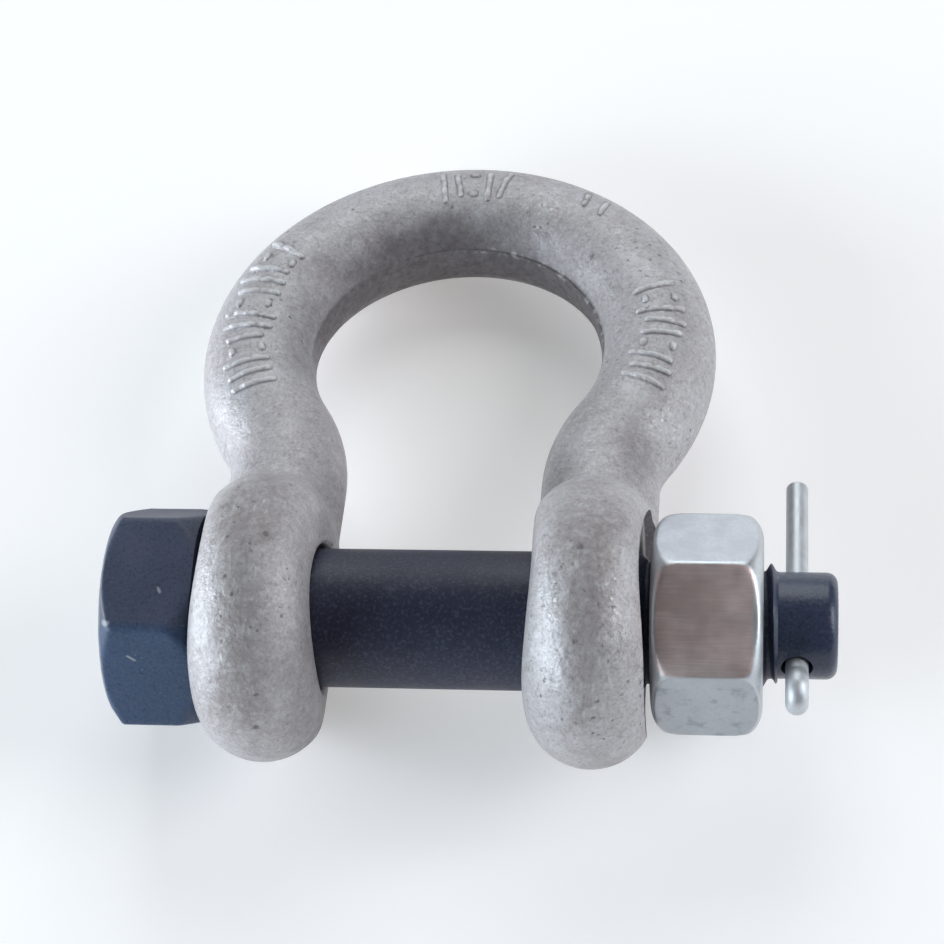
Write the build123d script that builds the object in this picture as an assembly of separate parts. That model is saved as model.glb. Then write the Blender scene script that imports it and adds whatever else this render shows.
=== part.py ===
# Bolt-type bow shackle for lifting and mooring tackle, one inch pin size class, in millimetres.
# A forged bow with two drafted ears, a hex-headed bolt across the ears, a hex nut and a split cotter.
# The pieces are drawn in the plane of the bow: X along the bolt towards the nut, Y from the bolt
# towards the top of the bow, Z square to that plane, origin at the middle of the bolt's bearing length.
# At the end everything is laid down as the shackle rests, on the rims of its ears and the top of its bow.
import os
from math import asin, cos, degrees, radians, sqrt, tan

from build123d import *

# Forged bow
bar_d = 22.4
jaw_w = 37.0
bow_r = 39.8
bow_y = 65.3
neck_r = 24.0

# Ears, crowned: thickest at the parting plane, each face falling away from it, with full round rims
ear_d = 53.2
ear_t = 23.0
ear_crown = 4.0
ear_swell = 0.3
ear_rim_r = 7.0
root_r = 6.0
spot_d = 41.0
spot_depth = 2.7
bore_edge_r = 1.2

# Bolt
pin_d = 25.4
pin_play = 0.8
head_af = 37.8
head_t = 16.5
head_gap = 1.5
head_turn_deg = 45.0
head_land = 0.98
head_bevel_deg = 38.0
head_under_land = 1.04
head_under_bevel_deg = 60.0
under_head_r = 0.8
thread_d = 22.2
shank_bevel = 1.2
tip_d = 19.2
tip_l = 10.6
tip_r = 2.0
thread_bevel = 0.9
thread_out = 2.6

# Nut
nut_af = 35.0
nut_t = 19.9
nut_gap = 2.2
nut_turn_deg = 24.0
nut_land = 0.93
nut_bevel_deg = 45.0
nut_play = 0.05
nut_bore_bevel = 0.9

# Split cotter of half-round wire
wire_d = 4.1
cotter_play = 0.8
cotter_out = 3.4
slit = 0.2
eye_r = 2.2
eye_neck_r = 3.0
neck_gap = 0.9
leg_long = 23.3
leg_step = 2.5
leg_end_r = 0.8

# Margin that picks out edges by their place
edge_search = 0.5

# Places that follow from the sizes above
ear_x = jaw_w / 2 + ear_t / 2
ear_out = jaw_w / 2 + ear_t
spot_x = ear_out - spot_depth
bore_d = pin_d + 2 * pin_play
head_x = -(spot_x + head_gap)
nut_x = spot_x + nut_gap
shank_x = nut_x - nut_gap / 2
thread_x = nut_x + nut_t + thread_out
tip_x = thread_x + tip_l
cotter_x = thread_x + cotter_out
cotter_bore_d = wire_d + 2 * cotter_play
bow_top = bow_y + bow_r
lean = degrees(asin((ear_d - bar_d) / 2 / bow_top))


def centreline():
    """Right ear to left ear: straight leg, outward neck, round bow, neck and leg again."""
    reach = sqrt((neck_r + bow_r) ** 2 - (ear_x + neck_r) ** 2)
    neck_y = bow_y - reach
    share = neck_r / (neck_r + bow_r)
    meet_x = (ear_x + neck_r) * (1 - share)
    meet_y = neck_y + reach * share
    leg = Line((ear_x, 0), (ear_x, neck_y))
    neck = TangentArc((ear_x, neck_y), (meet_x, meet_y), tangent=(0, 1))
    bow = ThreePointArc((meet_x, meet_y), (0, bow_top), (-meet_x, meet_y))
    return Wire([leg, neck, bow, neck.mirror(Plane.YZ), leg.mirror(Plane.YZ)])


def ear():
    """One ear about the origin: a disc with a full round rim and crowned faces."""
    ear_r = ear_d / 2
    face_x = ear_t / 2
    edge_x = face_x - ear_crown
    swell_r = face_x + ear_swell
    right = ThreePointArc((edge_x, -ear_r), (face_x, 0), (edge_x, ear_r))
    left = ThreePointArc((-edge_x, ear_r), (-face_x, 0), (-edge_x, -ear_r))
    outline = Wire([right, Line(right @ 1, left @ 0), left, Line(left @ 1, right @ 0)])
    slab = extrude(Plane.XZ * make_face(outline), amount=ear_r, both=True)
    corner_r = ear_r - swell_r + sqrt(swell_r**2 - face_x**2)
    swell = ThreePointArc((-face_x, corner_r), (0, ear_r), (face_x, corner_r))
    sides = Polyline((face_x, corner_r), (face_x, 0), (-face_x, 0), (-face_x, corner_r))
    blank = revolve(make_face([swell, *sides.edges()]), Axis.X) & slab
    return fillet(blank.edges().filter_by(GeomType.BSPLINE), ear_rim_r)


def root_edges(solid):
    """Where the bar runs into the rims of the ears."""
    reach = bar_d / 2 + edge_search
    found = []
    for edge in solid.edges().filter_by(GeomType.BSPLINE):
        box = edge.bounding_box()
        beside_bow = ear_d / 4 < box.min.Y and box.max.Y < ear_d / 2
        if beside_bow and box.max.Z < reach and box.min.Z > -reach:
            found.append(edge)
    return found


def bore_edges(solid):
    """The four mouths of the bolt's bore."""
    reach = bore_d / 2 + edge_search
    found = []
    for edge in solid.edges():
        box = edge.bounding_box()
        widest = max(box.max.Y, -box.min.Y, box.max.Z, -box.min.Z)
        if widest < reach and edge.geom_type != GeomType.LINE:
            found.append(edge)
    return found


def shackle_body():
    """The forging: bar swept round the bow, an ear on each end, faced and bored for the bolt."""
    path = centreline()
    section = Plane(origin=path @ 0, z_dir=path % 0) * Circle(bar_d / 2)
    solid = sweep(section, path)
    for side in (1, -1):
        solid += Pos(side * ear_x, 0, 0) * ear()
    solid = fillet(root_edges(solid), root_r)
    for side in (1, -1):
        cutter = Rot(0, 90, 0) * Cylinder(spot_d / 2, ear_t)
        solid -= Pos(side * (spot_x + ear_t / 2), 0, 0) * cutter
    solid -= Rot(0, 90, 0) * Cylinder(bore_d / 2, 2 * ear_out)
    return fillet(bore_edges(solid), bore_edge_r)


def hex_blank(across_flats, thickness, turn, low_end, high_end):
    """A hexagon along +X from the origin, both ends turned to a cone that leaves a round land.

    Each end is the land's share of the width across flats and the cone's angle.
    """
    flat_r = across_flats / 2
    outer_r = flat_r / cos(radians(30)) + edge_search
    low_r, high_r = (flat_r * land for land, _ in (low_end, high_end))
    low_fall = (outer_r - low_r) * tan(radians(low_end[1]))
    high_fall = (outer_r - high_r) * tan(radians(high_end[1]))
    outline = Polyline(
        (0, 0), (0, low_r), (low_fall, outer_r),
        (thickness - high_fall, outer_r), (thickness, high_r), (thickness, 0),
        close=True,
    )
    envelope = revolve(make_face(outline), Axis.X)
    hexagon = RegularPolygon(flat_r, 6, major_radius=False, rotation=-turn)
    return extrude(Plane.YZ * hexagon, thickness) & envelope


def bolt():
    """Hex head, plain bearing length, threaded length at its outside diameter, plain end for the cotter."""
    top = (head_land, head_bevel_deg)
    under = (head_under_land, head_under_bevel_deg)
    head = Pos(head_x - head_t, 0, 0) * hex_blank(head_af, head_t, head_turn_deg, top, under)
    pin_r = pin_d / 2
    thread_r = thread_d / 2
    end_r = tip_d / 2
    outline = [
        Polyline(
            (head_x - head_t / 2, 0), (head_x - head_t / 2, pin_r), (shank_x - shank_bevel, pin_r),
            (shank_x, pin_r - shank_bevel), (shank_x, thread_r), (thread_x - thread_bevel, thread_r),
            (thread_x, thread_r - thread_bevel), (thread_x, end_r), (tip_x - tip_r, end_r),
        ),
        RadiusArc((tip_x - tip_r, end_r), (tip_x, end_r - tip_r), tip_r),
        Polyline((tip_x, end_r - tip_r), (tip_x, 0), (head_x - head_t / 2, 0)),
    ]
    edges = [edge for line in outline for edge in line.edges()]
    turned = revolve(make_face(edges), Axis.X)
    solid = head + turned
    neck = solid.edges().filter_by(GeomType.CIRCLE)
    neck = neck.filter_by_position(Axis.X, head_x - edge_search, head_x + edge_search)
    solid = fillet(neck.filter_by(lambda edge: edge.radius < pin_r + edge_search), under_head_r)
    solid -= Pos(cotter_x, 0, 0) * Rot(90, 0, 0) * Cylinder(cotter_bore_d / 2, 2 * tip_d)
    return solid


def hex_nut():
    """Plain hex nut, bevelled on both faces, bored to run on the thread."""
    end = (nut_land, nut_bevel_deg)
    solid = hex_blank(nut_af, nut_t, nut_turn_deg, end, end)
    bore_r = thread_d / 2 + nut_play
    solid -= Rot(0, 90, 0) * Cylinder(bore_r, 3 * nut_t)
    rings = solid.edges().filter_by(GeomType.CIRCLE)
    mouths = rings.filter_by(lambda edge: abs(edge.radius - bore_r) < nut_play)
    solid = chamfer(mouths, nut_bore_bevel)
    return Pos(nut_x, 0, 0) * solid


def cotter_pin():
    """One length of half-round wire: long leg, neck, eye, neck, short leg, lying along Y."""
    flat_z = slit / 2
    neck_y = -(tip_d / 2 + neck_gap)
    rise = flat_z + eye_neck_r
    span = sqrt((eye_r + eye_neck_r) ** 2 - rise**2)
    eye_y = neck_y - span
    share = eye_r / (eye_r + eye_neck_r)
    meet = (eye_y + span * share, rise * share)
    upper = (leg_long + tip_d / 2, flat_z)
    lower = (leg_long - leg_step + tip_d / 2, -flat_z)
    route = [
        Line(upper, (neck_y, flat_z)),
        TangentArc((neck_y, flat_z), meet, tangent=(-1, 0)),
        ThreePointArc(meet, (eye_y - eye_r, 0), (meet[0], -meet[1])),
        TangentArc((neck_y, -flat_z), (meet[0], -meet[1]), tangent=(-1, 0)),
        Line((neck_y, -flat_z), lower),
    ]
    path = Plane.YZ * Wire([edge for line in route for edge in line.edges()])
    half_round = make_face([
        Line((0, -wire_d / 2), (0, wire_d / 2)),
        ThreePointArc((0, wire_d / 2), (wire_d / 2, 0), (0, -wire_d / 2)),
    ])
    start = Plane(origin=(0, upper[0], upper[1]), x_dir=(0, 0, 1), z_dir=(0, -1, 0))
    solid = sweep(start * half_round, path)
    tips = solid.edges().filter_by(GeomType.CIRCLE)
    tips = tips.filter_by_position(Axis.Y, lower[0] - edge_search, upper[0] + edge_search)
    solid = fillet(tips, leg_end_r)
    return Pos(cotter_x, 0, 0) * solid


def lay_down(solid):
    """From the plane of the bow to the way the shackle rests."""
    return Rot(-lean, 0, 0) * solid


if __name__ == "__main__":
    os.makedirs("parts", exist_ok=True)
    pieces = {
        "shackle_body": shackle_body(),
        "bolt": bolt(),
        "hex_nut": hex_nut(),
        "cotter_pin": cotter_pin(),
    }
    for name, solid in pieces.items():
        export_step(lay_down(solid), f"parts/{name}.step")
    print("lean of the bow in degrees", round(lean, 3))
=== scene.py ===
"""A bolt-type bow shackle as it lies on a pale studio floor.

The forging is galvanised, the bolt painted, the nut and the split cotter zinc plated.
"""
import math
import random

import bmesh
import bpy
from mathutils import Matrix, Vector, noise


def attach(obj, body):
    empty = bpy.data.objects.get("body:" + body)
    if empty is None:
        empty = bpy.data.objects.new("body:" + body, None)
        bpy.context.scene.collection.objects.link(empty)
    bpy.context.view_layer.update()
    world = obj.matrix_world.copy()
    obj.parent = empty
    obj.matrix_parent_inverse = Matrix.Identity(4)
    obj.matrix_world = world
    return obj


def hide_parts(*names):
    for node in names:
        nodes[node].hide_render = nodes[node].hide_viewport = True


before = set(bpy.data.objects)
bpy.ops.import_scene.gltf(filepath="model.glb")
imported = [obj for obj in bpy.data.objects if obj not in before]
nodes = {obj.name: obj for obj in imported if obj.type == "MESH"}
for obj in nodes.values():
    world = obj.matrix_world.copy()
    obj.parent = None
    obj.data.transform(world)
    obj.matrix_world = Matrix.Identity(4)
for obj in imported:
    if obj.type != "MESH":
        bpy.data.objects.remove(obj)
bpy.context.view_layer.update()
scene = bpy.context.scene

MM = 0.001

# Sizes of the part, in millimetres, as its CAD source has them. Its drawing frame is the plane of the bow:
# X along the bolt towards the nut, Y towards the top of the bow, Z square to the bow.
LEAN = math.radians(8.426)
FLOOR_Z = -26.6
BAR_R = 11.2
BOW_R = 39.8
BOW_Y = 65.3
EAR_X = 30.0
HEAD_X = -40.3
HEAD_T = 16.5
HEAD_AF = 37.8
HEAD_FACET_DEG = 45.0
HEAD_TOP = (0.98, 38.0)
HEAD_UNDER = (1.04, 60.0)
HEAD_END_X = HEAD_X - HEAD_T
UNDER_HEAD_R = 0.8
PIN_R = 12.7
SHANK_X = 39.9
SHANK_BEVEL = 1.2
THREAD_R = 11.1
THREAD_X = 63.5
THREAD_BEVEL = 0.9
TIP_R = 9.6
TIP_X = 74.1
TIP_ROUND = 2.0
COTTER_X = 66.9
COTTER_BORE_R = 2.85
NUT_X = 41.0
NUT_T = 19.9
NUT_AF = 35.0
NUT_FACET_DEG = 6.0
NUT_END_R = 14.8
NUT_END_DEPTH = 4.4
NUT_BORE_R = 11.15
NUT_BORE_BEVEL = 0.9

# The thread, 9 turns to the inch with flanks at 60 degrees to the bolt, and the angle and place of one point
# of its crest
PITCH = 25.4 / 9
FLANK = math.radians(60)
THREAD_DEPTH = 1.4
ROOT_EASE = 0.5
CREST = 0.18
CREST_FALL = 0.08
CREST_X = 62.2
CREST_DEG = 38.0

# How far the corners and edges of the head and the nut are eased
HEAD_CORNER_EASE = 0.9
HEAD_EDGE_EASE = 0.5
NUT_CORNER_EASE = 0.8
NUT_EDGE_EASE = 0.9

# The photograph's view: where the camera stands about the bow, in degrees and millimetres
CAMERA_TURN = (9.907, 48.274, -6.841)
CAMERA_DISTANCE = 474.84
CAMERA_OFFSET = (8.052, 26.911)
FOCAL_PIXELS = 2600
FRAME_PIXELS = 944
SENSOR = 36
CLIP_START = 0.01

# Softboxes to the left, to the right and behind: place and size in metres, watts and colour
SOFTBOXES = (
    ("left_low", (-0.86, 0.05, 0.10), (0.4, 0.25), 4.9, (0.88, 0.94, 1.0)),
    ("left_front", (-0.70, -0.42, 0.25), (0.5, 0.5), 6.3, (0.80, 0.91, 1.0)),
    ("right_high", (0.70, 0.0, 0.50), (0.5, 0.5), 3.0, (1.0, 0.95, 0.97)),
    ("right_mid", (0.82, 0.0, 0.25), (0.5, 0.5), 2.1, (0.72, 0.90, 1.0)),
    ("back_low", (0.0, 0.88, 0.20), (0.6, 0.6), 1.0, (0.75, 0.82, 1.0)),
    ("back_high", (0.0, 0.70, 0.60), (0.6, 0.6), 3.2, (0.94, 1.0, 1.0)),
)
SOFTBOX_AIM = (0, 0.03, 0)

# The pale room: its colour, and its strength as a light and where the camera sees it
ROOM_COLOUR = (0.95, 0.97, 1.0, 1)
ROOM_FILL = 0.045
ROOM_SEEN = 0.95

# The floor: half its side, and the distances between which its own glow rises from its least to its most
FLOOR_HALF = 12.0
GLOW_FROM, GLOW_TO = 0.50, 0.90
GLOW_LEAST, GLOW_MOST = 0.28, 0.95

# Rough zinc patches with painted glints: middles in the bow's plane and reaches along its axes, in mm
ROUGH_PATCHES = (
    ((-22.3, -12.0, 19.0), (2.8, 17.0, 13.0)), ((-33.0, -10.0, 21.0), (2.2, 14.0, 11.0)),
    ((42.0, 42.0, 7.0), (7.0, 9.0, 7.0)), ((14.0, 96.0, 9.0), (10.0, 8.0, 6.0)),
    ((35.0, -9.0, 22.0), (2.2, 14.0, 12.0)), ((25.5, -12.0, 20.0), (2.0, 14.0, 12.0)),
)

# Single dark spots of the coating: middles and radii
DARK_SPOTS = (
    ((-26.2, -1.8, 25.8), 0.9), ((-28.0, -26.3, 2.0), 0.9), ((-24.5, 13.8, 21.1), 0.6),
    ((28.9, -19.0, 18.8), 0.8), ((29.3, -4.0, 26.2), 0.9), ((25.8, 86.0, 9.0), 1.0),
    ((26.8, 30.5, 11.3), 0.7),
)

# Nooks above the ear on the nut's side, darkened as painted shade: middles and reaches
SHADED_NOOKS = (((37.0, 34.0, 5.0), (5.5, 13.0, 10.0)), ((23.5, 26.5, 7.0), (5.0, 11.0, 5.0)))

# Short scratches in the paint of the head, and a long worn one along its corner: start, end and half width
SCRATCHES = (
    ((-46.1, -7.6, 17.8), (-45.6, -8.4, 17.1), 0.42), ((-51.4, -16.9, 9.6), (-50.2, -17.3, 8.8), 0.34),
    ((-56.2, -13.6, 15.0), (-54.4, -14.2, 15.3), 0.80), ((-51.4, -5.2, 20.8), (-50.8, -5.6, 20.4), 0.25),
    ((-49.0, -6.4, 19.4), (-48.3, -7.0, 18.8), 0.25), ((-54.6, -2.0, 23.4), (-54.4, -2.6, 22.8), 0.45),
)
WORN_CORNER = ((-55.0, -14.2, 15.4), (-41.0, -13.6, 14.8), 0.5)

# The brownish painted reflection on the nut's flat towards the camera: half the length and width of a
# rectangle, the border round it over which it ends, and the shift of its middle along the bolt
REFLECTION_HALF_X = 6.0
REFLECTION_HALF_SIDE = 7.3
REFLECTION_BORDER = (2.35, 2.75)
REFLECTION_SHIFT = -0.25


def to_row(p):
    """A point or direction of the bow's plane as the shackle lies, on its ears and the top of its bow."""
    x, y, z = p
    c, s = math.cos(LEAN), math.sin(LEAN)
    return Vector((x, y * c + z * s, -y * s + z * c))


def camera():
    """The camera at the photograph's viewing angle, with its frame level but for a small roll."""
    az, el, roll = (math.radians(angle) for angle in CAMERA_TURN)
    back = Vector((math.sin(az) * math.cos(el), -math.cos(az) * math.cos(el), math.sin(el)))
    level = Vector((math.cos(az), math.sin(az), 0))
    lift = back.cross(level)
    right = level * math.cos(roll) + lift * math.sin(roll)
    up = lift * math.cos(roll) - level * math.sin(roll)
    place = back * CAMERA_DISTANCE + right * CAMERA_OFFSET[0] + up * CAMERA_OFFSET[1]
    turn = Matrix([to_row(v) for v in (right, up, back)]).transposed().to_4x4()
    data = bpy.data.cameras.new("camera")
    data.sensor_width = SENSOR
    data.lens = SENSOR * FOCAL_PIXELS / FRAME_PIXELS
    data.clip_start = CLIP_START
    eye = bpy.data.objects.new("camera", data)
    scene.collection.objects.link(eye)
    eye.matrix_world = Matrix.Translation(to_row(place) * MM) @ turn
    scene.camera = eye


class Graph:
    """A material's node tree, written as nested calls. Lengths in it are metres.

    A mask is 1 where its layer is at its fullest and 0 where there is none.
    """

    def __init__(self, name):
        self.material = bpy.data.materials.new(name)
        self.material.use_nodes = True
        self.tree = self.material.node_tree
        self.tree.nodes.clear()
        self.place = self.node("ShaderNodeTexCoord").outputs["Object"]
        # The place in the bow's own plane: X along the bolt, Y up the bow, Z square to it
        self.bow_place = self.node("ShaderNodeVectorRotate", {"Vector": self.place, "Angle": LEAN},
                                   rotation_type="X_AXIS").outputs[0]
        self.x, self.y, self.z = self.axes(self.bow_place)

    def set_input(self, socket, value):
        if isinstance(value, bpy.types.NodeSocket):
            self.tree.links.new(value, socket)
        else:
            socket.default_value = value

    def node(self, kind, inputs=None, **settings):
        made = self.tree.nodes.new(kind)
        for key, value in settings.items():
            setattr(made, key, value)
        for key, value in (inputs or {}).items():
            self.set_input(made.inputs[key], value)
        return made

    def noise(self, scale, detail=2.0, rough=0.5, place=None):
        inputs = {"Vector": place or self.place, "Scale": scale, "Detail": detail, "Roughness": rough}
        return self.node("ShaderNodeTexNoise", inputs).outputs["Fac"]

    def cells(self, scale):
        """Distance from the middle of the nearest random cell, and three random numbers of that cell."""
        made = self.node("ShaderNodeTexVoronoi", {"Vector": self.place, "Scale": scale})
        return made.outputs["Distance"], self.axes(made.outputs["Color"])

    def step(self, value, low, high, to_low=0.0, to_high=1.0):
        """An eased change of result while a value goes from low to high, where high may be the lesser."""
        inputs = {"Value": value, "From Min": low, "From Max": high, "To Min": to_low, "To Max": to_high}
        return self.node("ShaderNodeMapRange", inputs, interpolation_type="SMOOTHSTEP").outputs["Result"]

    def ramp(self, length, low, high, to_low=0.0, to_high=1.0):
        """A step over a length, between two places in mm."""
        return self.step(length, low * MM, high * MM, to_low, to_high)

    def math(self, operation, a, b=0.0):
        return self.node("ShaderNodeMath", {0: a, 1: b}, operation=operation).outputs[0]

    def times(self, *values):
        result = values[0]
        for value in values[1:]:
            result = self.math("MULTIPLY", result, value)
        return result

    def most(self, *values):
        result = values[0]
        for value in values[1:]:
            result = self.math("MAXIMUM", result, value)
        return result

    def away(self, value, middle):
        """How far a value is from a middle, on either side."""
        return self.math("ABSOLUTE", self.math("SUBTRACT", value, middle))

    def vector(self, operation, a, b):
        return self.node("ShaderNodeVectorMath", {0: a, 1: b}, operation=operation).outputs[0]

    def number(self, operation, a, b=(0, 0, 0)):
        """The number that comes of one vector or two, such as a length or a distance."""
        return self.node("ShaderNodeVectorMath", {0: a, 1: b}, operation=operation).outputs["Value"]

    def hypot(self, a, b):
        return self.number("LENGTH", self.node("ShaderNodeCombineXYZ", {0: a, 1: b}).outputs[0])

    def axes(self, vector):
        return self.node("ShaderNodeSeparateXYZ", {0: vector}).outputs

    def mix(self, share, a, b):
        made = self.node("ShaderNodeMix", data_type="RGBA")
        self.set_input(made.inputs[0], share)
        for key, shade in ((6, a), (7, b)):
            is_socket = isinstance(shade, bpy.types.NodeSocket)
            self.set_input(made.inputs[key], shade if is_socket else (*shade, 1))
        return made.outputs[2]

    def vary(self, texture, a, b, low=0.3, high=0.7):
        """A colour that goes from one shade to another with a texture."""
        return self.mix(self.step(texture, low, high), a, b)

    def clouds(self, colour, *layers):
        """The colour under clouds, each a texture, its values at their start and fullest, strength, shade."""
        for texture, start, full, strength, shade in layers:
            colour = self.mix(self.step(texture, start, full, 0, strength), colour, shade)
        return colour

    def coats(self, colour, *layers):
        """The colour under coats, each a mask, its strength and its shade."""
        for mask, strength, shade in layers:
            colour = self.mix(self.times(mask, strength), colour, shade)
        return colour

    def bump(self, *layers):
        """A normal from layers of relief, each a value and its depth in mm."""
        height = 0.0
        for value, depth in layers:
            height = self.node("ShaderNodeMath", {0: value, 1: depth * MM, 2: height},
                               operation="MULTIPLY_ADD").outputs[0]
        return self.node("ShaderNodeBump", {"Height": height, "Distance": 1.0}).outputs["Normal"]

    def near(self, point, inner, outer, stretch=(1, 1, 1)):
        """A mask about a point of the bow's plane: full within the inner distance, gone at the outer, in mm.

        With a stretch, the distances are shares of its three reaches.
        """
        offset = self.vector("SUBTRACT", self.bow_place, [v * MM for v in point])
        offset = self.vector("MULTIPLY", offset, [1 / v for v in stretch])
        return self.ramp(self.number("LENGTH", offset), inner, outer, 1, 0)

    def scratch(self, start, end, half_width, core=0.3):
        """A mask of a straight mark between two points of the bow's plane, full over its core's share."""
        a, b = (Vector(p) * MM for p in (start, end))
        run = b - a
        offset = self.vector("SUBTRACT", self.bow_place, a)
        along = self.number("DOT_PRODUCT", offset, run / run.length_squared)
        along = self.node("ShaderNodeClamp", {"Value": along}).outputs[0]
        foot = self.node("ShaderNodeVectorMath", {0: list(run), "Scale": along}, operation="SCALE").outputs[0]
        return self.ramp(self.number("DISTANCE", offset, foot), core * half_width, half_width, 1, 0)

    def finish(self, **inputs):
        """The material, with the shader's inputs given by their names, an underscore for each space."""
        names = {key.replace("_", " "): value for key, value in inputs.items()}
        shader = self.node("ShaderNodeBsdfPrincipled", names)
        output = self.node("ShaderNodeOutputMaterial")
        self.tree.links.new(shader.outputs[0], output.inputs[0])
        return self.material


class ZincCoat(Graph):
    """The forging's coating: its textures, from coarse to fine, and masks of all that lies on it."""

    def __init__(self, name):
        super().__init__(name)
        self.broad = self.noise(38, 3, 0.55)
        self.patch = self.noise(150, 3, 0.6)
        self.mottle = self.noise(620, 3, 0.62)
        self.grain = self.noise(1700, 2, 0.6)
        # Distance from the middle of an ear's rim, and a height on it that counts 9 mm more on the nut's side
        self.off_rim = self.away(self.math("ABSOLUTE", self.x), EAR_X * MM)
        self.rim_y = self.math("ADD", self.y, self.ramp(self.x, -5, 5, 0, 9 * MM))
        # Distance in the bow's plane from the middle of the bow
        from_middle = self.vector("SUBTRACT", self.bow_place, (0, BOW_Y * MM, 0))
        self.out = self.number("LENGTH", self.vector("MULTIPLY", from_middle, (1, 1, 0)))

    def uneven(self, length, texture, most):
        """A length made longer and shorter by a texture."""
        return self.math("ADD", length, self.step(texture, 0.3, 0.7, -most, most))

    def bare_colour(self):
        """Greys in clouds of four sizes."""
        colour = self.vary(self.broad, (0.424, 0.394, 0.400), (0.472, 0.452, 0.462), 0.32, 0.68)
        return self.clouds(
            colour,
            (self.patch, 0.48, 0.72, 0.35, (0.530, 0.530, 0.548)),
            (self.patch, 0.44, 0.28, 0.30, (0.325, 0.303, 0.308)),
            (self.mottle, 0.50, 0.72, 0.50, (0.610, 0.615, 0.635)),
            (self.mottle, 0.46, 0.28, 0.50, (0.270, 0.253, 0.258)),
            (self.grain, 0.52, 0.74, 0.45, (0.640, 0.645, 0.660)),
            (self.grain, 0.48, 0.28, 0.45, (0.215, 0.205, 0.212)),
        )

    def rim_stain_and_shade(self):
        """A band that wanders round the middle of each ear's rim: partly staining, partly painted shade."""
        band = self.ramp(self.uneven(self.off_rim, self.broad, 2.2 * MM), 1.0, 6.5, 1, 0)
        return self.times(band, self.ramp(self.rim_y, 22, 6), self.ramp(self.z, -2, 6))

    def rim_streaks(self):
        """Short streaks that run round the rims: the dark ones and the light ones."""
        streak = self.noise(1050, 2, 0.6, self.vector("MULTIPLY", self.bow_place, (1, 0.4, 0.4)))
        on_rim = self.times(self.ramp(self.off_rim, 9, 5), self.ramp(self.rim_y, 16, 4),
                            self.ramp(self.z, 0, 8), self.step(self.patch, 0.44, 0.58))
        dark = self.times(on_rim, self.step(streak, 0.45, 0.30))
        light = self.times(on_rim, self.step(streak, 0.54, 0.72))
        return dark, light

    def rough_patches(self):
        """The rough patches of the coating, and bright specks of zinc in them painted as glints."""
        places = self.most(*[self.near(place, 0.15, 1.0, reach) for place, reach in ROUGH_PATCHES])
        places = self.times(places, self.step(self.patch, 0.34, 0.56, 0.3, 1.0))
        distance, lot = self.cells(820)
        reach = self.step(lot[2], 0.0, 1.0, 0.22, 0.62)
        glinting_grains = self.step(self.uneven(distance, self.grain, 0.12), reach, 0.08)
        glinting_grains = self.times(glinting_grains, self.step(lot[0], 0.50, 0.75))
        return places, self.times(glinting_grains, places)

    def grime_and_shade(self):
        """Dirt and painted shade inside the bow; painted shade below its trimmed parting line and about its
        ears.
        """
        # Dirt and painted shade along the inner side of the bow's top and left
        smear = self.ramp(self.uneven(self.out, self.patch, 0.7 * MM), 37.0, 29.5)
        on_top = self.times(self.ramp(self.y, 66, 92), self.ramp(self.x, 26, -6, 0.30, 1.0))
        on_left = self.times(self.ramp(self.y, 46, 60, 0, 0.45), self.ramp(self.x, -8, -20))
        inside = self.times(smear, self.most(on_top, on_left))
        # Painted shade on the flat below the parting line, which faces inwards and down
        below = self.times(self.ramp(self.out, 31.0, 29.6), self.ramp(self.z, 4.2, 2.6),
                           self.ramp(self.y, 50, 72))
        # Painted shade on the inner side of the left ear, turned away from the left lamps
        inner_left = self.times(self.ramp(self.x, -26, -20), self.ramp(self.x, -10, -14),
                                self.ramp(self.y, 36, 26), self.ramp(self.z, 18, 11))
        # Painted shade in the nooks above the ear on the nut's side
        nooks = self.most(*[self.near(place, 0.25, 1.0, reach) for place, reach in SHADED_NOOKS])
        grime_and_shade = self.most(inside, below, self.times(nooks, 0.50), self.times(inner_left, 0.42))
        return self.times(grime_and_shade, self.step(self.mottle, 0.26, 0.66, 1.0, 0.85))

    def edge_highlights(self):
        """Painted highlights in bits along the trimmed edge, on the nut's side, where the edge catches light.
        """
        edge_z = 2.95
        on_edge = self.times(self.ramp(self.away(self.z, edge_z * MM), 0.75, 0.25),
                             self.ramp(self.out, 31, 30), self.ramp(self.y, 62, 74), self.ramp(self.x, -6, 6))
        return self.times(on_edge, self.step(self.mottle, 0.50, 0.66))

    def raised(self):
        """Painted shade round the foot, painted highlight on the crest, of what stands proud of the bar's
        upper side.
        """
        proud = self.hypot(self.math("SUBTRACT", self.out, BOW_R * MM), self.z)
        on_upper = self.times(self.ramp(self.y, 44, 46), self.ramp(self.z, 3.5, 5.5))
        foot = self.times(self.ramp(proud, BAR_R + 0.01, BAR_R + 0.08),
                          self.ramp(proud, BAR_R + 0.42, BAR_R + 0.20), on_upper)
        crest = self.times(self.ramp(proud, BAR_R + 0.30, BAR_R + 0.65), on_upper)
        return foot, crest

    def pits(self, crowded):
        """Pin holes and specks, where they are crowded, and the single dark spots."""
        distance, lot = self.cells(620)
        holes = self.step(self.uneven(distance, self.grain, 0.10), 0.10, 0.32, 1, 0)
        holes = self.times(holes, crowded, self.step(lot[1], 0.58, 0.66))
        spots = self.most(holes, *[self.near(place, 0.3 * radius, radius) for place, radius in DARK_SPOTS])
        return self.times(spots, self.step(self.grain, 0.30, 0.60, 1.0, 0.60))


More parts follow.
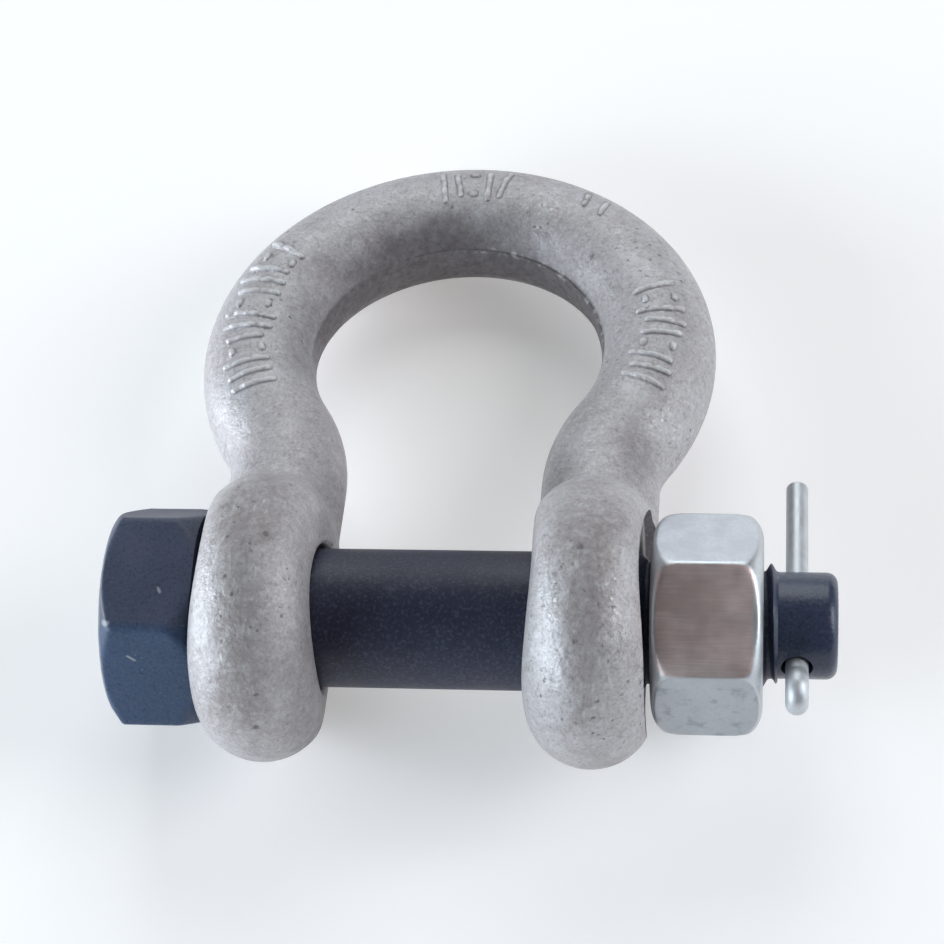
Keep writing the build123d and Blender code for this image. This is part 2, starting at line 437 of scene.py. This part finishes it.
def galvanised():
    """Hot-dip zinc on a forging: matt, mottled, pitted, stained, grimy, with painted shade and highlights."""
    g = ZincCoat("galvanised_steel")
    # The band round the middle of each rim is partly staining and partly painted shade where the rim faces
    # the camera
    band = g.rim_stain_and_shade()
    stain_and_shade = g.times(band, g.step(g.mottle, 0.30, 0.66, 1.0, 0.60))
    dark_streaks, light_streaks = g.rim_streaks()
    # Specks of the rough zinc, painted bright as glints
    patches, glinting_grains = g.rough_patches()
    # Dirt and painted shade inside the bow, and painted shade below its parting line and in its nooks
    grime_and_shade = g.grime_and_shade()
    # Painted shade round the feet of the raised strokes and painted highlight on their crests
    foot, crest = g.raised()
    crowded = g.most(g.step(g.broad, 0.53, 0.60), g.times(band, g.step(g.patch, 0.42, 0.52)), patches)
    colour = g.coats(
        g.bare_colour(),
        (stain_and_shade, 0.68, (0.240, 0.212, 0.206)),
        (dark_streaks, 0.42, (0.165, 0.150, 0.148)),
        (light_streaks, 0.40, (0.70, 0.70, 0.69)),
        (glinting_grains, 0.55, (0.82, 0.82, 0.80)),
        (grime_and_shade, 0.88, (0.098, 0.086, 0.090)),
        (g.edge_highlights(), 0.50, (0.66, 0.65, 0.63)),
        (foot, 0.55, (0.150, 0.135, 0.135)),
        (crest, 0.60, (0.74, 0.74, 0.74)),
        (g.pits(crowded), 0.80, (0.085, 0.074, 0.074)),
    )
    rough = g.step(g.patch, 0.3, 0.7, 0.60, 0.50)
    rough = g.math("SUBTRACT", rough, g.times(glinting_grains, 0.12))
    rough = g.math("ADD", rough, g.times(g.most(grime_and_shade, stain_and_shade), 0.10))
    normal = g.bump((g.noise(120, 1), 0.35), (g.mottle, 0.26), (g.grain, 0.09), (glinting_grains, 0.13))
    return g.finish(Base_Color=colour, Metallic=0.30, Roughness=rough, Normal=normal)


def painted():
    """Dark blue-black satin paint, reflection painted on the head, with bare specks, scratches and a rubbed
    edge.
    """
    g = Graph("painted_steel")
    broad = g.noise(70, 3)
    grain = g.noise(1700, 3, 0.6)
    head = g.ramp(g.x, HEAD_X + 2.3, HEAD_X - 0.3)
    end = g.ramp(g.x, THREAD_X - 2.5, THREAD_X + 0.5)
    # The head's paint is lighter and bluer than the shank's, as painted reflection of the bluish lamps on its
    # facets
    shank = g.vary(broad, (0.018, 0.020, 0.040), (0.023, 0.026, 0.053))
    upper = g.vary(broad, (0.046, 0.058, 0.098), (0.060, 0.070, 0.116))
    lower = g.vary(broad, (0.027, 0.057, 0.116), (0.035, 0.066, 0.138))
    # Lower facets bluer as painted reflection of the bluish lamps; the head's end has the upper facets'
    # colour
    on_lower = g.times(g.ramp(g.math("ADD", g.y, g.z), 2.5, -0.5),
                       g.ramp(g.x, HEAD_END_X + 0.1, HEAD_END_X + 0.6))
    colour = g.mix(head, shank, g.mix(on_lower, upper, lower))
    colour = g.mix(end, colour, (0.040, 0.050, 0.088))
    colour = g.clouds(colour, (grain, 0.48, 0.70, 0.6, (0.066, 0.080, 0.122)),
                      (grain, 0.46, 0.28, 0.6, (0.014, 0.018, 0.034)))

    # Bare specks and scratches on the head, and a pale rubbed line round the outer edge of its end
    specks = g.times(g.step(g.cells(950)[0], 0.05, 0.17, 1, 0), g.step(g.noise(160), 0.58, 0.68), head)
    worn = g.times(g.step(g.noise(900, 3), 0.54, 0.62), g.scratch(*WORN_CORNER), 0.5)
    bare = g.most(specks, worn, *[g.scratch(*mark) for mark in SCRATCHES])
    rub = g.times(g.ramp(g.x, HEAD_END_X + 0.6, HEAD_END_X + 0.05), g.ramp(g.hypot(g.y, g.z), 17.2, 18.2),
                  g.step(g.noise(300, 3), 0.30, 0.60, 0.35, 1.0))
    colour = g.coats(colour, (bare, 0.70, (0.34, 0.36, 0.38)), (rub, 0.60, (0.36, 0.37, 0.38)))
    rough = g.step(broad, 0.3, 0.7, 0.44, 0.54)
    rough = g.math("SUBTRACT", rough, g.times(end, 0.20))
    normal = g.bump((g.noise(240, 2), 0.10), (grain, 0.055))
    return g.finish(Base_Color=colour, Metallic=0.0, Roughness=rough, Normal=normal, Specular_IOR_Level=0.40)


def zinc_nut():
    """Bright brushed zinc: a brownish painted reflection on the flat towards the camera, painted shade blots
    below.
    """
    g = Graph("zinc_nut")
    lines = g.noise(2600, 4, 0.6, g.vector("MULTIPLY", g.bow_place, (0.06, 1, 1)))
    grain = g.noise(1500, 3, 0.6)
    cloud = g.noise(210, 3, 0.55)
    colour = g.vary(cloud, (0.56, 0.585, 0.61), (0.66, 0.685, 0.715), 0.35, 0.65)
    colour = g.clouds(colour, (grain, 0.30, 0.70, 0.35, (0.48, 0.49, 0.50)))

    def toward(angle):
        """How far a place is from the bolt's axis in the direction of an angle round it, in degrees."""
        turn = math.radians(angle)
        return g.number("DOT_PRODUCT", g.bow_place, (0, math.cos(turn), math.sin(turn)))

    # The flat towards the camera gets a brownish painted reflection of the dark, warm room behind the camera
    reflection_deg = NUT_FACET_DEG + 120
    shaded_flat_deg = NUT_FACET_DEG + 180
    past_x = g.math("SUBTRACT", g.away(g.x, (NUT_X + NUT_T / 2 + REFLECTION_SHIFT) * MM), REFLECTION_HALF_X * MM)
    past_side = g.math("SUBTRACT", g.math("ABSOLUTE", toward(reflection_deg + 90)), REFLECTION_HALF_SIDE * MM)
    past = g.hypot(g.math("MAXIMUM", past_x, 0.0), g.math("MAXIMUM", past_side, 0.0))
    on_brown_reflection = g.times(g.ramp(past, *REFLECTION_BORDER, 1, 0), g.ramp(toward(reflection_deg), 15, 17))
    brown_reflection = g.vary(g.noise(150, 3), (0.70, 0.53, 0.50), (0.80, 0.67, 0.64))
    brown_reflection = g.clouds(brown_reflection, (lines, 0.35, 0.65, 0.35, (0.50, 0.41, 0.395)))
    # The flat below is darkened in blots as painted shade of the shadowed floor it reflects
    blots = g.step(g.noise(330, 4, 0.6), 0.52, 0.68, 0.55, 1.0)
    shaded_blots = g.times(g.ramp(toward(shaded_flat_deg), 17.2, 17.4), blots)
    colour = g.coats(colour, (on_brown_reflection, 0.95, brown_reflection), (shaded_blots, 0.80, (0.25, 0.27, 0.30)))
    rough = g.step(cloud, 0.3, 0.7, 0.34, 0.46)
    normal = g.bump((g.noise(260, 2), 0.06), (lines, 0.020), (grain, 0.012))
    return g.finish(Base_Color=colour, Metallic=0.70, Roughness=rough, Normal=normal)


def zinc_wire():
    """Bright plated wire with draw lines along it."""
    g = Graph("zinc_wire")
    lines = g.noise(3200, 3, 0.6, g.vector("MULTIPLY", g.bow_place, (1, 0.05, 1)))
    cloud = g.noise(420, 3)
    colour = g.vary(cloud, (0.56, 0.58, 0.60), (0.62, 0.645, 0.67), 0.35, 0.65)
    colour = g.clouds(colour, (lines, 0.52, 0.72, 0.25, (0.40, 0.40, 0.41)))
    rough = g.step(cloud, 0.3, 0.7, 0.42, 0.54)
    return g.finish(Base_Color=colour, Metallic=0.65, Roughness=rough, Normal=g.bump((lines, 0.02)))


def dress(node, material):
    """The material on all of a CAD object."""
    for slot in nodes[node].material_slots:
        slot.material = material


def smooth_min(a, b, ease):
    """The lesser of two lengths, with the crossing eased over the given length."""
    h = max(ease - abs(a - b), 0) / ease
    return min(a, b) - h * h * ease / 4


def smooth_step(value, low, high):
    """An eased rise from 0 to 1 while a value goes from low to high."""
    t = min(max((value - low) / (high - low), 0), 1)
    return t * t * (3 - 2 * t)


# Angles from a corner of a hexagon at which its rings have points, close together at the corner
FROM_CORNER = (0.5, 1.1, 1.9, 3.0, 4.5, 7.0, 10.5, 15.0, 20.0, 25.0)

# Places of a hexagon's rings: distances from each end, close together at the end, and shares of its length
FROM_END = (0.0, 0.06, 0.16, 0.30, 0.48, 0.72, 1.0, 1.35, 1.75, 2.2, 2.7, 3.3, 4.0, 4.8)
MIDDLE_SHARES = (0.35, 0.42, 0.5, 0.58, 0.65)
ENDS_EASE = 0.01


def hex_angles(facet_deg):
    """Angles of one ring's points, in degrees, for a hexagon with a facet towards the given angle."""
    steps = [-s for s in reversed(FROM_CORNER)] + [0.0] + list(FROM_CORNER) + [30.0]
    return [facet_deg + 30 + 60 * corner + step for corner in range(6) for step in steps]


def hex_radius(across_flats, facet_deg, angle, ease):
    """Distance of a hexagon's outline from its axis, with its corners eased."""
    away = abs((angle - facet_deg + 30) % 60 - 30)
    flat_r = across_flats / 2
    near = flat_r / math.cos(math.radians(away))
    far = flat_r / math.cos(math.radians(60 - away))
    return smooth_min(near, far, ease)


def hex_rings(start, thickness, across_flats, facet_deg, low_end, high_end, angles, corner_ease, edge_ease):
    """Rings of a bevelled hexagon from one end to the other, each its place on the axis and its radii.

    Each end is a function that gives the most the radius may be at a distance from that end.
    """
    places = list(FROM_END)
    places += [thickness * share for share in MIDDLE_SHARES]
    places += [thickness - step for step in FROM_END]
    found = []
    for place in sorted(places):
        low = low_end(place)
        high = high_end(thickness - place)
        ring = []
        for angle in angles:
            hexagon = hex_radius(across_flats, facet_deg, angle, corner_ease)
            from_low = smooth_min(low, hexagon, edge_ease)
            from_high = smooth_min(high, hexagon, edge_ease)
            ring.append(smooth_min(from_low, from_high, ENDS_EASE))
        found.append((start + place, ring))
    return found


def cone_end(flat_r, land, slope_deg):
    """A straight turned bevel: the land's share of the flats' radius and the cone's slope."""
    return lambda depth: flat_r * land + depth / math.tan(math.radians(slope_deg))


def round_end(land_r, corner_r, reach):
    """A bevel turned to a quarter of an ellipse, from its land out to the corners."""
    def limit(depth):
        past = max(1 - depth / reach, 0)
        return land_r + (corner_r - land_r) * math.sqrt(1 - past * past) + max(depth - reach, 0)
    return limit


def thread_radius(x, angle):
    """Outside of the thread: a helix of rounded crests that runs out towards the plain length of the bolt."""
    turns = (x - CREST_X) / PITCH - (angle - CREST_DEG) / 360
    from_crest = abs((turns + 0.5) % 1 - 0.5) * PITCH
    fall = max(from_crest - CREST, 0) * math.tan(FLANK)
    depth = smooth_min(fall, THREAD_DEPTH, ROOT_EASE)
    depth *= smooth_step(x, SHANK_X + 0.1, SHANK_X + PITCH)
    crest_r = THREAD_R - CREST_FALL * smooth_step(from_crest, 0, CREST)
    bevel = THREAD_R - THREAD_BEVEL + (THREAD_X - x)
    least = TIP_R + 0.06
    return max(min(crest_r - max(depth, 0), bevel), least)


def ring_at(x, radii, angles):
    """Points round the bolt's axis at one place, each with its radius and its angle in degrees."""
    points = []
    for radius, angle in zip(radii, angles):
        turn = math.radians(angle)
        points.append((x, radius * math.cos(turn), radius * math.sin(turn)))
    return points


def round_ring(x, radius, angles):
    return ring_at(x, [radius] * len(angles), angles)


def loft(rings, looped=False):
    """Points and faces of a skin through rings of equal count, closed at both ends or looped on itself."""
    count = len(rings[0])
    points = [p for ring in rings for p in ring]
    faces = []
    for i in range(len(rings) if looped else len(rings) - 1):
        a = i * count
        b = (i + 1) % len(rings) * count
        for j in range(count):
            k = (j + 1) % count
            faces.append((a + j, a + k, b + k, b + j))
    if not looped:
        faces.append(tuple(range(count)))
        faces.append(tuple(range(len(points) - count, len(points))))
    return points, faces


def new_mesh(name, points, faces):
    """A mesh from points of the bow's plane in mm, with every face turned outwards."""
    mesh = bpy.data.meshes.new(name)
    mesh.from_pydata([to_row(p) * MM for p in points], [], faces)
    work = bmesh.new()
    work.from_mesh(mesh)
    bmesh.ops.recalc_face_normals(work, faces=work.faces)
    work.to_mesh(mesh)
    work.free()
    return mesh


def new_piece(name, mesh, material, body, crease_deg=None):
    """A smooth shaded piece that rides on a body, with its creases kept sharp."""
    mesh.shade_smooth()
    if crease_deg:
        mesh.set_sharp_from_angle(angle=math.radians(crease_deg))
    mesh.materials.clear()
    mesh.materials.append(material)
    piece = bpy.data.objects.new(name, mesh)
    scene.collection.objects.link(piece)
    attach(piece, body)
    return piece


def cut(name, mesh, cutter_mesh):
    """The mesh with the cutter taken out of it."""
    whole = bpy.data.objects.new(name, mesh)
    cutter = bpy.data.objects.new(name + "_cutter", cutter_mesh)
    for item in (whole, cutter):
        scene.collection.objects.link(item)
    change = whole.modifiers.new("cut", "BOOLEAN")
    change.operation = "DIFFERENCE"
    change.solver = "EXACT"
    change.object = cutter
    bpy.context.view_layer.update()
    result = bpy.data.meshes.new_from_object(whole.evaluated_get(bpy.context.evaluated_depsgraph_get()))
    for item in (whole, cutter):
        bpy.data.objects.remove(item)
    return result


def head_rings(angles):
    """The bolt's head, its end closed in towards the axis and its under side in towards the bolt."""
    top_end, under_end = (cone_end(HEAD_AF / 2, *end) for end in (HEAD_TOP, HEAD_UNDER))
    rings = hex_rings(HEAD_END_X, HEAD_T, HEAD_AF, HEAD_FACET_DEG, top_end, under_end, angles,
                      HEAD_CORNER_EASE, HEAD_EDGE_EASE)
    top_x, top = rings[0]
    under = rings[-1][1]
    closing = [ring_at(top_x, [r * share for r in top], angles) for share in (0.05, 0.5, 0.9, 0.985)]
    sides = [ring_at(x, radii, angles) for x, radii in rings]
    return closing + sides + [ring_at(HEAD_X, [r * share for r in under], angles) for share in (0.985, 0.85)]


def bolt_profile():
    """Places and radii of the turned length below the head, down to the start of the thread."""
    profile = []
    for turn in (0, 22.5, 45, 67.5, 90):
        swing = math.radians(turn)
        down = UNDER_HEAD_R * (1 - math.cos(swing))
        out = UNDER_HEAD_R * (1 - math.sin(swing))
        profile.append((HEAD_X + down, PIN_R + out))
    for share in (0.25, 0.5, 0.75):
        profile.append((HEAD_X + (SHANK_X - HEAD_X) * share, PIN_R))
    for back, drop in ((0.15, 0.0), (0.05, 0.03), (-0.08, 0.14)):
        profile.append((SHANK_X - SHANK_BEVEL - back, PIN_R - drop))
    profile.append((SHANK_X, PIN_R - SHANK_BEVEL))
    return profile


def tip_profile():
    """Places and radii of the plain end, past the thread."""
    profile = [(THREAD_X + out, TIP_R) for out in (0.0, 0.4, 4.0)]
    for turn in (0, 15, 30, 45, 60, 75, 90):
        swing = math.radians(turn)
        back = TIP_ROUND * (1 - math.sin(swing))
        drop = TIP_ROUND * (1 - math.cos(swing))
        profile.append((TIP_X - back, TIP_R - drop))
    for share in (0.9, 0.5, 0.05):
        profile.append((TIP_X, (TIP_R - TIP_ROUND) * share))
    return profile


def cotter_drill(sides=48):
    """A rod through the plain end, as wide as the cotter's hole."""
    turns = [math.tau * k / sides for k in range(sides)]
    circle = [(COTTER_X + COTTER_BORE_R * math.cos(t), COTTER_BORE_R * math.sin(t)) for t in turns]
    rings = [[(x, y, z) for x, z in circle] for y in (-2 * TIP_R, 2 * TIP_R)]
    return new_mesh("drill", *loft(rings))


def threaded_bolt(material, thread_steps=160):
    """Head, plain length, thread and plain end in one skin, with the cotter's hole cut through it."""
    angles = hex_angles(HEAD_FACET_DEG)
    rings = head_rings(angles)
    rings += [round_ring(x, radius, angles) for x, radius in bolt_profile()]
    start = SHANK_X + 0.01
    for i in range(thread_steps + 1):
        x = start + (THREAD_X - start) * i / thread_steps
        rings.append(ring_at(x, [thread_radius(x, angle) for angle in angles], angles))
    rings += [round_ring(x, radius, angles) for x, radius in tip_profile()]
    mesh = cut("threaded_bolt", new_mesh("threaded_bolt", *loft(rings)), cotter_drill())
    piece = new_piece("threaded_bolt", mesh, material, "bolt", crease_deg=42)
    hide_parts("bolt")
    return piece


def plated_nut(material):
    """The nut with its rounded corners and edges, bored for the thread."""
    angles = hex_angles(NUT_FACET_DEG)
    end = round_end(NUT_END_R, NUT_AF / 2 / math.cos(math.radians(30)), NUT_END_DEPTH)
    outside = hex_rings(NUT_X, NUT_T, NUT_AF, NUT_FACET_DEG, end, end, angles, NUT_CORNER_EASE, NUT_EDGE_EASE)
    far_x, far = outside[-1]
    near_x, near = outside[0]
    mouth = NUT_BORE_R + NUT_BORE_BEVEL
    bore = ((far_x, mouth), (far_x - NUT_BORE_BEVEL, NUT_BORE_R), (far_x - NUT_T / 2, NUT_BORE_R),
            (near_x + NUT_BORE_BEVEL, NUT_BORE_R), (near_x, mouth))
    inwards = (0.12, 0.6, 0.95)
    rings = [ring_at(x, radii, angles) for x, radii in outside]
    rings += [ring_at(far_x, [r + (mouth - r) * share for r in far], angles) for share in inwards]
    rings += [round_ring(x, radius, angles) for x, radius in bore]
    rings += [ring_at(near_x, [r + (mouth - r) * share for r in near], angles) for share in reversed(inwards)]
    mesh = new_mesh("plated_nut", *loft(rings, looped=True))
    piece = new_piece("plated_nut", mesh, material, "nut", crease_deg=35)
    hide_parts("hex_nut")
    return piece


def on_bow(along, around, lift):
    """A point over the bow's bar: degrees along the bow from the nut's side, degrees round the bar from its
    outer side over the top, and millimetres out of its surface."""
    a, b = math.radians(along), math.radians(around)
    out = BOW_R + (BAR_R + lift) * math.cos(b)
    return (out * math.cos(a), BOW_Y + out * math.sin(a), (BAR_R + lift) * math.sin(b))


# Raised strokes: how deep their edges and their under sides lie in the bar, how they are divided, the square
# of the half width at their very ends, and how round and rough they are
SUNK = -0.35
UNDER_SUNK = 1.6 * SUNK
STROKE_SPACING = 0.35
STROKE_COLUMNS = 11
STROKE_CAP_STEPS = 4
STROKE_TIP_SQUARE = 0.02
STROKE_ROUNDNESS = 0.75
STROKE_ROUGHNESS = 0.8


def stroke_stations(length, half):
    """Places along a stroke, from one round end to the other."""
    steps = max(3, round(length / STROKE_SPACING))
    caps = range(STROKE_CAP_STEPS)
    start = [-half * (1 - k / STROKE_CAP_STEPS) for k in caps]
    middle = [length * k / steps for k in range(steps + 1)]
    return start + middle + [length + half * (k + 1) / STROKE_CAP_STEPS for k in caps]


def sheet_faces(rows, columns, count):
    """Faces of an upper and an under sheet of points in rows and columns, with a wall round their rims."""
    faces = []
    for i in range(rows - 1):
        for j in range(columns - 1):
            k = i * columns + j
            quad = (k, k + 1, k + columns + 1, k + columns)
            faces.append(quad)
            faces.append(tuple(count + v for v in reversed(quad)))
    rim = list(range(columns))
    rim += [i * columns + columns - 1 for i in range(1, rows)]
    rim += [(rows - 1) * columns + j for j in range(columns - 2, -1, -1)]
    rim += [i * columns for i in range(rows - 2, 0, -1)]
    for v, w in zip(rim, rim[1:] + rim[:1]):
        faces.append((v, w, count + w, count + v))
    return faces


def raised_stroke(start, end, width, height):
    """A soft-edged closed bar standing out of the bow between two places, in degrees along and around it."""
    (a0, b0), (a1, b1) = start, end
    mean_r = BOW_R + BAR_R * math.cos(math.radians((b0 + b1) / 2))
    per_along, per_around = math.radians(mean_r), math.radians(BAR_R)
    run = Vector(((a1 - a0) * per_along, (b1 - b0) * per_around))
    length = run.length
    way = run.normalized()
    side = Vector((-way.y, way.x))
    half = width / 2
    middle = STROKE_COLUMNS // 2
    stations = stroke_stations(length, half)
    top, under = [], []
    for s in stations:
        past = max(-s, s - length, 0)
        reach = math.sqrt(max(half**2 - past**2, STROKE_TIP_SQUARE))
        for column in range(-middle, middle + 1):
            u = column / middle
            offset = way * s + side * (u * reach)
            away = min(math.hypot(past, u * reach) / half, 1)
            rise = SUNK + (height - SUNK) * (1 - away**2) ** STROKE_ROUNDNESS
            along = a0 + offset.x / per_along
            around = b0 + offset.y / per_around
            rough = STROKE_ROUGHNESS * height * noise.noise(Vector((s * 0.8, u * 0.7, a0)))
            top.append(on_bow(along, around, rise + rough * (1 - away)))
            under.append(on_bow(along, around, UNDER_SUNK))
    return top + under, sheet_faces(len(stations), STROKE_COLUMNS, len(top))


def joined(parts):
    """Points and faces of many parts as those of one."""
    points, faces = [], []
    for part_points, part_faces in parts:
        base = len(points)
        points += part_points
        faces += [tuple(base + v for v in face) for face in part_faces]
    return points, faces


# The raised marks, in degrees along the bow: bars and pips on both shoulders and on the top
LEFT_BARS = (204.0, 199.5, 195.0, 186.0, 181.5, 177.0, 168.0, 163.5, 159.0, 150.0)
LEFT_PIPS = (190.5, 172.5, 154.5)
RIGHT_BARS = (-21.5, -17.0, -12.5, -3.5, 1.0, 5.5, 14.5)
RIGHT_PIPS = (-8.0, 10.0)
TOP_BARS = (98.0, 93.5, 84.5, 80.0)
TOP_PIP = 89.0
SHORT_BARS = (56.0, 50.0)
MARK_SEED = 11
BAR_WIDTH = 1.9
BAR_HEIGHT = 0.60
TOP_BAR_HEIGHT = 0.5
BAR_TILT = 0.7
PIP_HALF_LENGTH = 0.5
PIP_WIDTH = 2.1
PIP_HEIGHT = 0.55


def raised_marks(material):
    """Plain raised bars and pips on the shoulders and the top of the bow, a generic row with no lettering."""
    draw = random.Random(MARK_SEED)
    strokes = []

    def bar(along, low, high, tilt, height=BAR_HEIGHT):
        strokes.append(raised_stroke((along - tilt, low), (along + tilt, high), BAR_WIDTH, height))

    def uneven_bar(along, low, high, low_range, high_range, height=BAR_HEIGHT):
        low += draw.uniform(*low_range)
        high += draw.uniform(*high_range)
        bar(along, low, high, draw.uniform(-BAR_TILT, BAR_TILT), height)

    def pips(along, *rounds):
        for around in rounds:
            ends = ((along - PIP_HALF_LENGTH, around), (along + PIP_HALF_LENGTH, around))
            strokes.append(raised_stroke(*ends, PIP_WIDTH, PIP_HEIGHT))

    for along in LEFT_BARS:
        uneven_bar(along, 63, 103, (-5, 4), (-6, 5))
    for along in LEFT_PIPS:
        pips(along, 68, 99)
    for along in RIGHT_BARS:
        uneven_bar(along, 66, 106, (-5, 4), (-6, 5))
    for along in RIGHT_PIPS:
        pips(along, 71, 101)
    for along in TOP_BARS:
        uneven_bar(along, 72, 106, (-4, 4), (-6, 6), TOP_BAR_HEIGHT)
    pips(TOP_PIP, 76, 104)
    for along in SHORT_BARS:
        bar(along, 62, 84, -1.2, TOP_BAR_HEIGHT)
    mesh = new_mesh("raised_marks", *joined(strokes))
    return new_piece("raised_marks", mesh, material, "body")


# The trimmed parting line. Its section is in degrees round the bar and mm of lift: the crisp edge first, then
# the skin below it, and a point within the bar to close it. It sinks into the bar at both ends of its run.
FLASH_SECTION = ((163.6, -0.75), (165.5, 0.0), (168.0, 0.02), (172.0, 0.0), (177.0, -0.04), (183.0, -0.10),
                 (189.0, -0.20), (195.0, -0.34), (201.0, -0.52), (207.0, -0.75))
FLASH_INSIDE = (185.0, -1.6)
FLASH_START, FLASH_END = -30, 206
FLASH_STEPS = 520
FLASH_RISE = (-30, 18)
FLASH_FALL = (92, 150)
FLASH_PROUD = 0.34
FLASH_SUNK = 0.42
FLASH_UNEVEN, FLASH_UNEVEN_SCALE = 0.07, 0.35
FLASH_WANDER, FLASH_WANDER_SCALE = 0.9, 0.12


def flash_band(material):
    """The trimmed parting line inside the bow: a crisp edge that fades at both ends, and a skin below it."""
    rings = []
    for step in range(FLASH_STEPS + 1):
        along = FLASH_START + (FLASH_END - FLASH_START) * step / FLASH_STEPS
        fade = smooth_step(along, *FLASH_RISE) * (1 - smooth_step(along, *FLASH_FALL))
        proud = FLASH_PROUD * fade - FLASH_SUNK * (1 - fade)
        proud += FLASH_UNEVEN * fade * noise.noise(Vector((along * FLASH_UNEVEN_SCALE, 0, 3)))
        wander = FLASH_WANDER * noise.noise(Vector((along * FLASH_WANDER_SCALE, 5, 1)))
        ring = [on_bow(along, around + wander, lift + proud) for around, lift in FLASH_SECTION]
        ring.append(on_bow(along, *FLASH_INSIDE))
        rings.append(ring)
    mesh = new_mesh("flash_band", *loft(rings))
    return new_piece("flash_band", mesh, material, "body", crease_deg=40)


def studio_floor():
    """A pale matt floor whose own glow grows with distance, so that it runs into the pale room."""
    low = FLOOR_Z * MM
    corners = [(x * FLOOR_HALF, y * FLOOR_HALF, low) for x, y in ((-1, -1), (1, -1), (1, 1), (-1, 1))]
    mesh = bpy.data.meshes.new("floor")
    mesh.from_pydata(corners, [], [(0, 1, 2, 3)])
    floor = bpy.data.objects.new("floor", mesh)
    scene.collection.objects.link(floor)
    g = Graph("floor")
    glow = g.step(g.number("LENGTH", g.place), GLOW_FROM, GLOW_TO, GLOW_LEAST, GLOW_MOST)
    mesh.materials.append(g.finish(Base_Color=(0.80, 0.80, 0.81, 1), Roughness=0.9,
                                   Emission_Color=(1.0, 0.98, 0.95, 1), Emission_Strength=glow))


def softbox(name, place, size, power, colour):
    """A soft rectangular lamp turned to the shackle, which lights it and isn't seen itself."""
    data = bpy.data.lights.new(name, "AREA")
    data.shape = "RECTANGLE"
    data.size, data.size_y = size
    data.energy = power
    data.color = colour
    lamp = bpy.data.objects.new(name, data)
    lamp.visible_camera = False
    scene.collection.objects.link(lamp)
    place = Vector(place)
    turn = (place - Vector(SOFTBOX_AIM)).to_track_quat("Z", "Y").to_matrix().to_4x4()
    lamp.matrix_world = Matrix.Translation(place) @ turn


def studio_light():
    """The softboxes, in a room that is pale where it is seen and dim in the light that it gives."""
    world = bpy.data.worlds.new("studio")
    scene.world = world
    world.use_nodes = True
    tree = world.node_tree
    colour, strength = tree.nodes["Background"].inputs[:2]
    colour.default_value = ROOM_COLOUR
    seen = tree.nodes.new("ShaderNodeMapRange")
    seen.inputs["To Min"].default_value = ROOM_FILL
    seen.inputs["To Max"].default_value = ROOM_SEEN
    tree.links.new(tree.nodes.new("ShaderNodeLightPath").outputs["Is Camera Ray"], seen.inputs["Value"])
    tree.links.new(seen.outputs[0], strength)
    for lamp in SOFTBOXES:
        softbox(*lamp)


camera()
studio_floor()
studio_light()
zinc_coat = galvanised()
dress("shackle_body", zinc_coat)
raised_marks(zinc_coat)
flash_band(zinc_coat)
threaded_bolt(painted())
plated_nut(zinc_nut())
dress("cotter_pin", zinc_wire())
scene.view_settings.view_transform = "Standard"
